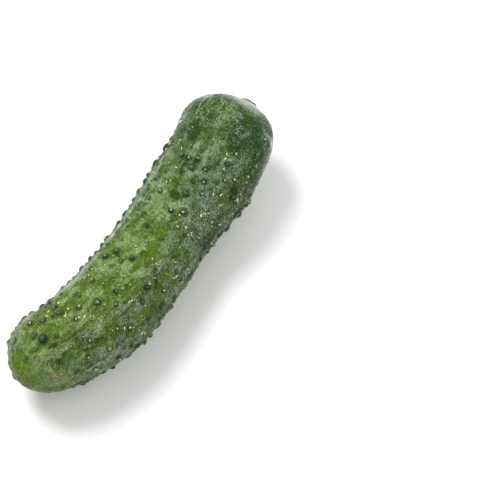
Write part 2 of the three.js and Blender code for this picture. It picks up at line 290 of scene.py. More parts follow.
# distance from the blossom tip, degrees round, half length, half width, slant in degrees
skinPlaces = {
    "rubbed": [  # wax gone, fresh green shows
        (29.4, 56, 2.3, 2.2, 0), (24.4, 57, 2.8, 1.8, 0), (38.4, 46, 2, 1.7, 0),
        (68.6, 99, 2.6, 2, -25), (66, 94, 1.6, 1, 0), (54.7, 82, 0.9, 0.7, 0), (52.3, 83, 1.1, 0.7, 20),
        (53.2, 103.5, 3.8, 0.9, 0), (77, 96, 1, 3.4, 10), (89.4, 84, 1.6, 3, 0),
        (98.4, 54, 0.9, 2.2, 0), (95, 46, 1.8, 0.8, 0), (20.4, 87, 1.9, 2, 0), (24.5, 77, 2.4, 1.6, 0),
        (61, 95, 3.8, 1.2, 0), (47.5, 70, 1.6, 1.2, 0), (31.6, 66, 1.8, 1.5, 0),
        (36.5, 68, 1.4, 1.2, 0), (10, 66, 4, 3, 0), (4.5, 66, 2.6, 3.4, 0), (107, 48, 2.4, 1.4, 0),
        (85, 50, 2, 0.8, 0), (74.5, 72, 1.6, 1.3, 0), (43, 147, 2.8, 2.4, 0), (52.5, 142, 4.6, 2.6, 0),
        (34, 103, 3.4, 0.8, 0), (73.5, 128, 1.4, 2.2, 0), (66, 131, 2.4, 1.4, 0), (33, 133, 3, 1.4, 0),
    ],
    "deepGreenAndShade": [  # deep green patches, and painted shade along the fruit's outlines and on the stem cap's left side
        (62.8, 122, 4.6, 0.9, -40), (37.5, 149, 2.4, 1.6, 0), (29, 105, 4.6, 0.9, 0),
        (57.5, 46, 2, 0.9, 0), (51.5, 46, 1.1, 1, 0), (75, 77, 1.3, 2.2, 0), (72.5, 152, 2.2, 1.2, 0),
        (86, 155, 2, 1.4, 0), (21, 100, 2.4, 1.2, 0), (89.4, 84, 1.4, 2.6, 0), (101.5, 77, 3.6, 3.4, 0),
        (32.5, 126, 3, 1, 0), (91, 49, 0.8, 1.6, 0), (84.5, 43, 1.4, 0.8, 0), (99, 16, 12, 3, 0),
        (80, 15, 9, 2.8, 0), (55, 16, 12, 2.8, 0), (33, 17, 8, 2.8, 0), (105, 34, 2, 2.6, 0),
        (109, 40, 3.4, 3.6, 0), (116, 28, 8, 7.5, 0), (121, 44, 4, 5, 0), (30, 110, 3.6, 2.2, 0),
        (70, 43, 5, 1, 0), (118, 112, 6, 5.5, 0), (112, 56, 5, 4, 0), (124, 120, 6, 6, 0),
        (118, 156, 6, 4, 0), (128, 62, 3, 3.5, 0), (110, 159, 5, 4.5, 0), (14, 41, 3.6, 3, 0),
        (32, 42, 1.8, 2, 0), (80, 46, 2.6, 3.2, 0), (74, 35, 1.4, 2.4, 0), (56, 62, 1.3, 1.4, 0),
        (86, 42, 1.8, 2, 0), (38, 163, 2, 2.4, 0), (50, 152, 2.4, 1.8, 0), (32, 74, 1.6, 1.3, 0),
        (92, 62, 1.4, 1.8, 0), (98, 74, 1.8, 1.6, 0), (88, 163, 9, 4, 0), (104, 142, 3.2, 1.8, -20),
        (101, 171, 11, 3.6, 0), (78, 173, 9, 2.5, 0), (113, 155, 5, 3.5, 0), (119, 70, 3, 3.5, 0),
        (60, 178, 12, 1.8, 0),
    ],
    "waxed": [  # thick milky wax
        (66, 61, 4.5, 3.5, 0), (70, 31, 3.5, 1.6, 0), (82.5, 69, 4, 3.6, 20), (45, 80, 2.4, 1.8, 0),
        (57, 60, 1.6, 1.4, 0), (75, 112, 5, 3, 0), (91.5, 60, 3.5, 1.8, -20), (74, 65, 2.6, 1.6, 0),
        (95, 117, 4, 1.6, 0), (104, 112, 2.6, 1.6, 0), (101, 123, 3.5, 0.9, 25), (97, 84, 2, 1, 0),
        # the patch at 125, 99 on the stem cap's shoulder also paints a highlight
        (123, 82, 2.6, 4, 0), (125, 99, 1.3, 2.2, 0), (118, 101, 3.5, 1.6, 0), (112, 91, 3.5, 2.6, 0),
        (84, 118, 3, 1.6, 0), (51, 66, 2.6, 1.2, 0), (59, 102, 2.6, 1.6, 0), (80, 132, 4, 2, 0),
        (68, 72, 3, 1.6, 0), (17, 98, 3.5, 1.2, 0), (40, 56, 2.2, 1.2, 0), (88, 72, 2.6, 1.6, 0),
        (33, 79, 2.6, 1, 0), (30, 163, 8, 2.4, 0), (14, 158, 6, 3, 0), (48, 118, 4, 0.9, 0),
        (100, 43, 2.6, 3, 0), (38.5, 38, 2.6, 2.4, 0), (110, 128, 2.4, 2, 0), (122, 128, 1.8, 2, 0),
        (68, 140, 6, 2.2, 0), (9, 121, 3.4, 5, 0), (44, 128, 2, 1.6, 0), (32, 62, 1.4, 1, 0),
    ],
    "scuffed": [  # pale corky scratches
        (35.3, 117.5, 2.2, 0.6, 8), (14.6, 133, 0.6, 2, 0), (15.5, 144, 1.8, 0.8, 0),
        (22, 113.5, 3.6, 0.6, 0), (34.2, 144, 1.2, 0.6, -30), (54.5, 109, 1, 0.35, 0),
    ],
    "glossAndPaintedSheen": [  # painted grey sheen, a reflection painted into the colour; the skin is glossier there too
        (128, 150, 1.4, 6, 0), (125, 99, 1.1, 1.9, 20),
    ],
}
stray = {"rubbed": 1.0, "waxed": 1.3, "deepGreenAndShade": 1.0, "scuffed": 1.5, "glossAndPaintedSheen": 0.5}  # how ragged
softEdge = (0.55, 1.15)  # a place fades out between these shares of its size
ridgeShineLines = [  # raised shiny lines, pale with wax and painted paler as highlight streaks: from, to, degrees round at each, half width in degrees, strength
    (18, 31, 34, 37, 6, 0.5), (34, 61, 36, 36, 7, 0.5), (63, 77, 35, 37, 7, 0.55),
    (76, 96, 34, 38, 5, 0.35), (86, 98, 38, 40, 1.3, 0.3), (40, 58, 37, 35, 1.5, 0.6),
    (116, 128, 52, 46, 1.2, 0.35), (124, 132, 47, 42, 2, 0.8), (4, 30, 106, 113, 1.8, 0.25),
    (28, 56, 112, 117, 2.2, 0.3), (60, 76, 118, 126, 1.5, 0.25), (12, 27, 128, 150, 1.3, 0.25),
]


def cleanSlate():
    bpy.ops.object.select_all(action="DESELECT")


def smudges(distance, turn, places, ragged):  # how much a point lies in one of the places
    share = np.zeros(len(distance))
    for at, angle, long, wide, slant in places:
        near = np.nonzero(np.abs(distance - at) < 2.5 * max(long, wide))[0]
        off = turn[near] - radians(angle)
        off = np.arctan2(np.sin(off), np.cos(off)) * plainRadius(shareAt(at))
        ahead = distance[near] - at
        slanted = radians(slant)
        x = (ahead * cos(slanted) + off * sin(slanted)) / long
        y = (off * cos(slanted) - ahead * sin(slanted)) / wide
        away = np.hypot(x, y) + ragged[near]
        share[near] = np.maximum(share[near], 1 - smoothstep(away, *softEdge))
    return share


def setValues(mesh, name, values):
    values = np.asarray(values, float)
    kind, field = ("FLOAT_VECTOR", "vector") if values.ndim == 2 else ("FLOAT", "value")
    layer = mesh.attributes.new(name, kind, "POINT")
    layer.data.foreach_set(field, values.ravel())


def bumpsOver(points, distance, bumps, ragged):
    # height, how far up a bump, how near to one, and how dark that one is
    draw = random.Random(wartShape["seed"])
    tipRadius, pointed, dimpled = wartShape["tip"]
    least, chance, larger = wartShape["dark"]
    height, top, around, shade = (np.zeros(len(points)) for _ in range(4))
    for bump in bumps:
        near = np.nonzero(np.abs(distance - bump["distance"]) < 4 * bump["foot"])[0]
        away = np.linalg.norm(points[near] - bump["at"], axis=1)
        share = away / bump["foot"] * (1 + ragged[near])
        near, away, share = near[share < 3], away[share < 3], share[share < 3]
        dome = np.maximum(0, 1 - share ** 2) ** wartShape["round"]
        skirt = wartShape["skirt"] * np.exp(-(share ** 2) / 4)
        tip = np.exp(-((away / tipRadius) ** 2)) * (pointed if bump["spined"] else dimpled)
        height[near] += bump["height"] * (wartShape["dome"] * dome + skirt + tip)
        dark = min(1, least + chance * draw.random() + larger * (bump["foot"] - 1))
        dark *= 0.5 + 0.5 * smoothstep(bump["distance"], *wartShape["faint"])
        top[near] = np.maximum(top[near], dome)
        around[near] = np.maximum(around[near], dark * np.exp(-((share / wartShape["halo"]) ** 2)))
        shade[near] = np.maximum(shade[near], dark * (share < 1.05))
    return height, top, around, shade


def scarsOver(points):
    height = np.zeros(len(points))
    for scar in (stemScar, blossomScar):
        away = np.linalg.norm(points - scarAt(scar), axis=1)
        height += scar["height"] * np.exp(-(((away - scar["rim"]) / scar["width"]) ** 2))
        height -= scar["dish"] * (1 - smoothstep(away, 0.5 * scar["rim"], scar["rim"]))
    return height


# raised shiny lines, which the skin colour also lightens as a painted highlight
def ridgeShineOver(points, distance, turn):
    wander = 1.5 * noiseOf(points, 0.45, 6) * (1 - smoothstep(distance, 108, 118))
    side = np.degrees(turn) % 360 + wander
    ridgeShine = np.zeros(len(distance))
    for low, high, first, last, wide, strength in ridgeShineLines:
        middle = first + (last - first) * np.clip((distance - low) / (high - low), 0, 1)
        fade = 0.22 * (high - low)
        ends = smoothstep(distance, low, low + fade) * (1 - smoothstep(distance, high - fade, high))
        ridgeShine = np.maximum(ridgeShine, strength * ends * np.exp(-(((side - middle) / wide) ** 2)))
    for angle in ribs["degrees"][2:]:  # faint ones beside the ribs of the far side
        line = np.exp(-(((np.abs(side - angle) - 5) / 2.5) ** 2))
        line *= smoothstep(noiseOf(points, 0.08, 8), 0, 0.3)
        line *= 1 - 0.85 * smoothstep(distance, 104, 118)
        ridgeShine = np.maximum(ridgeShine, 0.5 * line)
    return ridgeShine


def skinOver(distance, turn, extra=0):  # finished skin, and its masks
    u = shareAt(distance)
    points, out = plainSkin(u, turn), outwardAt(distance, turn)
    ridgeShine = ridgeShineOver(points, distance, turn)
    ragged = skin["ragged"] * noiseOf(points, 0.9, 1)
    wartHeight, wart, nearWart, shade = bumpsOver(points, distance, wartList, ragged)
    pimpleHeight, pimple, _, _ = bumpsOver(points, distance, pimpleList, ragged)
    own = np.zeros(len(points))
    for name, seed in (("dents", 2), ("lumps", 5), ("grain", 3)):
        tall, close = skin[name]
        own += tall * noiseOf(points, close, seed)
    deep, close = skin["creases"]
    own -= deep * np.exp(-((noiseOf(points * (0.5, 1, 1), close, 4) / skin["creaseWidth"]) ** 2))
    own *= smoothstep(plainRadius(u), 2, 9) * (1 - 0.6 * smoothstep(distance, 112, 124))
    height = wartHeight + pimpleHeight + own + skin["ridges"] * ridgeShine + scarsOver(points)
    placed = points + out * (height + extra)[:, None] + np.array(fruit["shift"])
    placed[:, 2] = np.maximum(placed[:, 2], 0)
    return placed, out, {"wart": wart, "nearWart": nearWart, "shade": shade,
                         "pimple": pimple, "ridgeShine": ridgeShine}


def paintedPlaces(distance, turn):
    points = plainSkin(shareAt(distance), turn)
    rough = 0.35 * noiseOf(points, 0.55, 6) + 0.25 * noiseOf(points, 1.2, 7)
    fresh = 1 - 0.62 * smoothstep(distance, 68, 100) * (1 - 0.4 * smoothstep(distance, 104, 118))
    offTop = np.arctan2(np.sin(turn - 1.3), np.cos(turn - 1.3))
    fresh *= 0.42 + 0.58 * np.exp(-((offTop / 0.95) ** 2))  # freshest on the upper side
    side = np.degrees(turn) % 360
    # painted sheen along the stem cap's far rim, a reflection painted into the colour
    farRimSheen = smoothstep(distance + 2 * rough, 126.5, 133) * (1 - smoothstep(np.abs(side - 91), 14, 36))
    dusty = smoothstep(side + 22 * noiseOf(points, 0.09, 9), 92, 122) * smoothstep(distance, 20, 45)
    painted = {name: smudges(distance, turn, places, stray[name] * rough)
               for name, places in skinPlaces.items()}
    painted["glossAndPaintedSheen"] = np.maximum(painted["glossAndPaintedSheen"], farRimSheen)
    return {"fresh": fresh, "dusty": dusty, **painted}


def makeSkin():
    cleanSlate()
    bpy.ops.mesh.primitive_uv_sphere_add(segments=skin["segments"], ring_count=skin["rings"], radius=1)
    piece = bpy.context.object
    piece.name = piece.data.name = "skin"
    mesh = piece.data
    ball = np.empty(len(mesh.vertices) * 3)
    mesh.vertices.foreach_get("co", ball)
    ball = ball.reshape(-1, 3)
    distance = (0.5 + np.arcsin(np.clip(ball[:, 2], -1, 1)) / pi) * skinLength
    turn = np.arctan2(ball[:, 1], ball[:, 0])
    placed, _, masks = skinOver(distance, turn)
    mesh.vertices.foreach_set("co", (placed * mm).ravel())
    for name, values in {**masks, **paintedPlaces(distance, turn)}.items():
        setValues(mesh, name, values)
    setValues(mesh, "round", np.stack([distance, np.cos(turn), np.sin(turn)], axis=1))
    mesh.uv_layers[0].name = "OFBake"
    mesh.update()
    bpy.ops.object.shade_smooth()
    return piece


skinPiece = makeSkin()
print("skin", len(skinPiece.data.vertices), "vertices")


# spines on the warts, and broken ones that lie about
spines = {
    "seed": 3,
    "sides": 7,
    "width": (0.3, 0.52),  # radius of the foot
    "length": (0.2, 0.55),
    "onPimple": (0.7, 0.6),  # shares of that width and length
    "lean": 0.25,
    "sunk": 0.12,
    "astray": 0.17,  # share of the wart's foot that they stand off its middle
    "around": 17,  # radius that makes that an angle
    "profile": ((0.0, 1.0), (0.14, 0.85), (0.32, 0.48), (0.65, 0.28), (1.0, 0.1)),
}
flecks = {
    "seed": 11,
    "count": 250,
    "sides": 5,
    "length": (0.5, 1.3),
    "width": (0.12, 0.26),
    "broad": (0.9, 2.0),  # times as broad as high
    "tilt": (0.05, 0.5),  # how steeply they stand up
    "beside": 0.2,  # share that lie next to another
    "apart": (0.8, 0.045),  # and how far from it, along and round
    "start": (0.03, 0.2),  # shares of the length, as for the pimples
    "end": (0.8, 0.86),
    "profile": ((0.0, 0.35), (0.2, 1.0), (0.7, 0.8), (1.0, 0.2)),
}


def makeSpikeShape(profile, sides):  # one unit long, standing on the origin
    cleanSlate()
    bpy.ops.mesh.primitive_cylinder_add(vertices=sides, radius=1, depth=1, location=(0, 0, 0.5))
    shape = bpy.context.object
    bpy.ops.object.transform_apply(location=True, rotation=False, scale=False)
    bpy.ops.object.mode_set(mode="EDIT")
    bpy.ops.mesh.select_mode(type="EDGE")
    bpy.ops.mesh.select_all(action="DESELECT")
    bpy.ops.object.mode_set(mode="OBJECT")
    corners = shape.data.vertices
    for edge in shape.data.edges:
        low, high = (corners[i].co.z for i in edge.vertices)
        edge.select = abs(low - high) > 0.5
    bpy.ops.object.mode_set(mode="EDIT")
    bpy.ops.mesh.subdivide(number_cuts=len(profile) - 2)
    bpy.ops.object.mode_set(mode="OBJECT")
    for corner in corners:
        height, width = profile[round(corner.co.z * (len(profile) - 1))]
        corner.co = (corner.co.x * width, corner.co.y * width, height)
    setValues(shape.data, "tip", [corner.co.z for corner in corners])
    bpy.ops.object.shade_smooth()
    return shape


def standOn(place, way, turn):  # turns +Z to the given way and puts it at the place
    upright = way.to_track_quat("Z", "Y").to_matrix().to_4x4()
    return Matrix.Translation(place) @ upright @ Matrix.Rotation(turn, 4, "Z")


def joinCopies(shape, places, name):  # places are matrices in metres with a tint each
    copies = []
    for matrix, tint in places:
        copy = shape.copy()
        copy.data = shape.data.copy()
        copy.data.transform(matrix)
        setValues(copy.data, "tint", np.full(len(copy.data.vertices), tint))
        bpy.context.collection.objects.link(copy)
        copies.append(copy)
    bpy.data.objects.remove(shape)
    cleanSlate()
    for copy in copies:
        copy.select_set(True)
    bpy.context.view_layer.objects.active = copies[0]
    bpy.ops.object.join()
    piece = bpy.context.object
    piece.name = piece.data.name = name
    return piece


def makeSpines():
    draw = random.Random(spines["seed"])
    bearers = [bump for bump in wartList + pimpleList if bump["spined"]]
    moved = [(b["distance"] + b["foot"] * draw.gauss(0, spines["astray"]),
              b["turn"] + b["foot"] * draw.gauss(0, spines["astray"]) / spines["around"])
             for b in bearers]
    places, outs, _ = skinOver(*np.array(moved).T, -spines["sunk"])
    copies = []
    for bump, place, out in zip(bearers, places, outs):
        narrower, shorter = spines["onPimple"] if bump["height"] < warts["height"][0] else (1, 1)
        width = lerp(*spines["width"], draw.random()) * narrower
        length = lerp(*spines["length"], draw.random()) * shorter + spines["sunk"]
        lean = Vector([draw.gauss(0, spines["lean"]) for _ in range(3)])
        way = (Vector(out) + lean).normalized()
        shape = Matrix.Diagonal((width * mm, width * draw.uniform(0.6, 1.05) * mm, length * mm, 1))
        copies.append((standOn(Vector(place) * mm, way, draw.random() * tau) @ shape, draw.random()))
    return joinCopies(makeSpikeShape(spines["profile"], spines["sides"]), copies, "spines")


def makeFlecks():
    draw = random.Random(flecks["seed"])
    spots = []
    while len(spots) < flecks["count"]:
        distance, turn = draw.random() * skinLength, draw.random() * tau
        if spots and draw.random() < flecks["beside"]:
            distance, turn = draw.choice(spots)
            distance += draw.gauss(0, flecks["apart"][0])
            turn += draw.gauss(0, flecks["apart"][1])
        u = shareAt(distance)
        crowd = smoothstep(u, *flecks["start"]) * (1 - 0.85 * smoothstep(u, *flecks["end"]))
        crowd = crowd * plainRadius(u) / fruit["widest"]
        if draw.random() < crowd and plainSkin(u, turn)[2] > spineRule["lowest"]:
            spots.append((distance, turn))
    places, outs, _ = skinOver(*np.array(spots).T)
    copies = []
    for place, out in zip(places, outs):
        out = Vector(out)
        length = lerp(*flecks["length"], draw.random() ** 1.6)
        width = lerp(*flecks["width"], draw.random())
        flat = out.cross(Vector([draw.gauss(0, 1) for _ in range(3)])).normalized()
        way = (flat + out * draw.uniform(*flecks["tilt"])).normalized()
        start = Vector(place) + out * width * 0.3 - way * length * 0.15
        broad = draw.uniform(*flecks["broad"])
        shape = Matrix.Diagonal((width * broad * mm, width * mm, length * mm, 1))
        copies.append((standOn(start * mm, way, draw.random() * tau) @ shape, draw.random()))
    return joinCopies(makeSpikeShape(flecks["profile"], flecks["sides"]), copies, "flecks")


spinePiece = makeSpines()
fleckPiece = makeFlecks()
print("spines", len(spinePiece.data.polygons), "flecks", len(fleckPiece.data.polygons), "faces")


# scars at the two ends
stemCork = {
    "outer": 3.7,
    "ragged": 0.25,
    "rings": 26,
    "sides": 128,
    "dots": 5,  # vessels in a ring
    "dotsAt": 1.25,
    "dotRadius": 0.38,
    "seed": 5,
}
blossomCork = {
    "outer": 2.1,
    "ragged": 0.3,
    "rings": 16,
    "sides": 80,
    "dots": 1,  # in the middle
    "dotsAt": 0,
    "dotRadius": 0.4,
    "seed": 6,
}
corkHeights = {"all": 0.1, "rim": 0.16, "crevice": 0.12, "dots": 0.22, "edge": 0.35, "thick": 0.4}


def makeScar(name, scar, cork):
    cleanSlate()
    bpy.ops.mesh.primitive_circle_add(vertices=cork["sides"], radius=cork["outer"], fill_type="NGON")
    piece = bpy.context.object
    piece.name = piece.data.name = name
    bpy.ops.object.mode_set(mode="EDIT")
    bpy.ops.mesh.select_all(action="SELECT")
    for _ in range(cork["rings"] - 1):
        bpy.ops.mesh.inset(thickness=cork["outer"] / cork["rings"], depth=0)
    bpy.ops.mesh.poke()
    bpy.ops.object.mode_set(mode="OBJECT")
    mesh = piece.data
    flat = np.empty(len(mesh.vertices) * 3)
    mesh.vertices.foreach_get("co", flat)
    flat = flat.reshape(-1, 3)
    away = np.hypot(flat[:, 0], flat[:, 1])
    angle = np.arctan2(flat[:, 1], flat[:, 0])
    spread = np.stack([3 * np.cos(angle), 3 * np.sin(angle), 0.3 * away], axis=1)
    rough = noiseOf(flat, 1.3, cork["seed"]), noiseOf(flat, 3.2, cork["seed"] + 1)
    fibres = noiseOf(spread, 1.5, cork["seed"] + 2) * smoothstep(away, 0, 0.5 * scar["rim"])
    edge = away * (1 + cork["ragged"] * (noiseOf(spread, 0.4, cork["seed"] + 3) + 0.4 * fibres))
    rim = np.exp(-(((edge - scar["rim"]) / (0.7 * scar["width"])) ** 2))
    inside = 1 - smoothstep(edge, 0.7 * scar["rim"], scar["rim"])
    crevice = np.exp(-(((edge - scar["rim"] - 1.3 * scar["width"]) / (0.5 * scar["width"])) ** 2))
    proud = corkHeights["all"] - corkHeights["crevice"] * crevice
    proud += rim * (corkHeights["rim"] + 0.2 * rough[0] + 0.12 * rough[1] + 0.2 * fibres)
    proud += inside * (0.1 * rough[0] + 0.08 * rough[1] + 0.14 * fibres)
    dots = np.zeros(len(flat))
    for i in range(cork["dots"]):
        turn = tau * (i + 0.2) / cork["dots"]
        spot = np.array([cos(turn), sin(turn)]) * cork["dotsAt"]
        off = np.linalg.norm(flat[:, :2] - spot, axis=1)
        dots += np.exp(-((off / cork["dotRadius"]) ** 2))
    proud += corkHeights["dots"] * dots
    proud -= corkHeights["edge"] * smoothstep(away, 0.82 * cork["outer"], cork["outer"])
    distance, turn = nearEnd(scar["y"] + flat[:, 0], scar["z"] + flat[:, 1], scar["atStem"])
    placed, _, _ = skinOver(distance, turn, proud)
    mesh.vertices.foreach_set("co", (placed * mm).ravel())
    for kind, values in {"rim": rim, "inside": inside, "fibres": fibres,
                         "crevice": crevice, "dots": np.minimum(dots, 1)}.items():
        setValues(mesh, kind, values)
    mesh.update()
    thick = piece.modifiers.new("thick", "SOLIDIFY")
    thick.thickness, thick.offset = corkHeights["thick"] * mm, -1 if scar["atStem"] else 1
    bpy.ops.object.modifier_apply(modifier="thick")
    bpy.ops.object.mode_set(mode="EDIT")
    bpy.ops.mesh.select_all(action="SELECT")
    bpy.ops.mesh.normals_make_consistent(inside=False)
    bpy.ops.object.mode_set(mode="OBJECT")
    bpy.ops.object.shade_smooth()
    return piece


stemPiece = makeScar("stemScar", stemScar, stemCork)
blossomPiece = makeScar("blossomScar", blossomScar, blossomCork)
print("scars", len(stemPiece.data.polygons), len(blossomPiece.data.polygons), "faces")


def hexColour(text):  # a screen colour as Blender's linear one
    parts = [int(text[i:i + 2], 16) / 255 for i in (1, 3, 5)]
    return [p / 12.92 if p < 0.04045 else ((p + 0.055) / 1.055) ** 2.4 for p in parts] + [1]


def put(tree, socket, value):
    if isinstance(value, bpy.types.NodeSocket):
        tree.links.new(value, socket)
    elif isinstance(value, str):
        socket.default_value = hexColour(value)
    else:
        socket.default_value = value


def addNode(tree, kind, inputs=(), **settings):
    node = tree.nodes.new(kind)
    for name, value in settings.items():
        setattr(node, name, value)
    for name, value in dict(inputs).items():
        put(tree, node.inputs[name], value)
    return node


def blend(tree, factor, first, second, way="MIX"):
    node = addNode(tree, "ShaderNodeMix", data_type="RGBA", blend_type=way, clamp_factor=True)
    for index, value in ((0, factor), (6, first), (7, second)):
        put(tree, node.inputs[index], value)
    return node.outputs[2]


def calc(tree, operation, first, second=0.0, clamp=False):
    node = addNode(tree, "ShaderNodeMath", operation=operation, use_clamp=clamp)
    put(tree, node.inputs[0], first)
    put(tree, node.inputs[1], second)
    return node.outputs[0]


def times(tree, *factors):
    product = factors[0]
    for factor in factors[1:]:
        product = calc(tree, "MULTIPLY", product, factor)
    return product


def plus(tree, *parts):
    total = parts[0]
    for part in parts[1:]:
        total = calc(tree, "ADD", total, part)
    return total


def most(tree, *choices):
    highest = choices[0]
    for choice in choices[1:]:
        highest = calc(tree, "MAXIMUM", highest, choice)
    return highest


def ease(tree, value, low, high, first=0.0, second=1.0):  # first at low, second at high
    node = addNode(tree, "ShaderNodeMapRange", {
        "Value": value, "From Min": low, "From Max": high, "To Min": first, "To Max": second},
        interpolation_type="SMOOTHSTEP")
    return node.outputs[0]


def cloud(tree, place, scale, detail=4.0, rough=0.55, twist=0.0):
    node = addNode(tree, "ShaderNodeTexNoise", {
        "Vector": place, "Scale": scale, "Detail": detail, "Roughness": rough, "Distortion": twist})
    return node.outputs["Fac"]


def painted(tree, name):  # a share that the mesh carries
    return addNode(tree, "ShaderNodeAttribute", attribute_name=name).outputs["Fac"]


def stretched(tree, place, scale, move=(0, 0, 0)):
    node = addNode(tree, "ShaderNodeMapping", {"Vector": place, "Location": move, "Scale": scale})
    return node.outputs[0]


def newMaterial(name):
    material = bpy.data.materials.new(name)
    material.use_nodes = True
    tree = material.node_tree
    inMillimetres = stretched(tree, addNode(tree, "ShaderNodeTexCoord").outputs["Object"], (1000,) * 3)
    return material, tree, tree.nodes["Principled BSDF"], inMillimetres


def finish(tree, shader, colour, roughness, bumps, constants=()):
    put(tree, shader.inputs["Base Color"], colour)
    put(tree, shader.inputs["Roughness"], roughness)
    normal = None
    for height, depth in bumps:  # depth in millimetres
        bump = addNode(tree, "ShaderNodeBump", {
            "Height": height, "Distance": depth * mm, "Strength": 1.0})
        if normal:
            tree.links.new(normal, bump.inputs["Normal"])
        normal = bump.outputs[0]
    tree.links.new(normal, shader.inputs["Normal"])
    for name, constant in dict(constants).items():
        shader.inputs[name].default_value = constant


skinLook = {
    "green": "#4c6338",
    "fresh": "#5a7130",
    "vivid": "#526a0e",
    "deep": "#1c340a",
    "bloom": "#829b70",
    "freshBloom": "#829a5a",
    "dust": "#7e9271",
    "wax": "#bcc4b4",
    "wart": "#10281b",
    "wartTop": "#4f6a58",
    "cap": "#1d3f0c",
    "fleck": "#a2ab6c",
    "corky": "#a89f6c",
    "blossomEnd": "#597a18",
    "tip": "#5f5430",
    # colour of the painted sheen, a reflection
    "paintedSheen": "#8f9794",
}


skinFinish = {
    "wax": {"haze": 0.9, "middle": 0.8, "small": 0.2, "streaks": 0.55, "fresh": -0.1},
    "waxFrom": 1.04,  # sum of those at which the wax begins
    "waxFull": 1.38,
    "bumps": {"middle": 1.5, "small": 0.56, "veins": 0.1, "grain": 0.25, "pores": 0.02},
    "roughness": (0.26, 0.5),  # bare and waxed
    "constants": {"Specular IOR Level": 0.08, "Coat Roughness": 0.08},
}


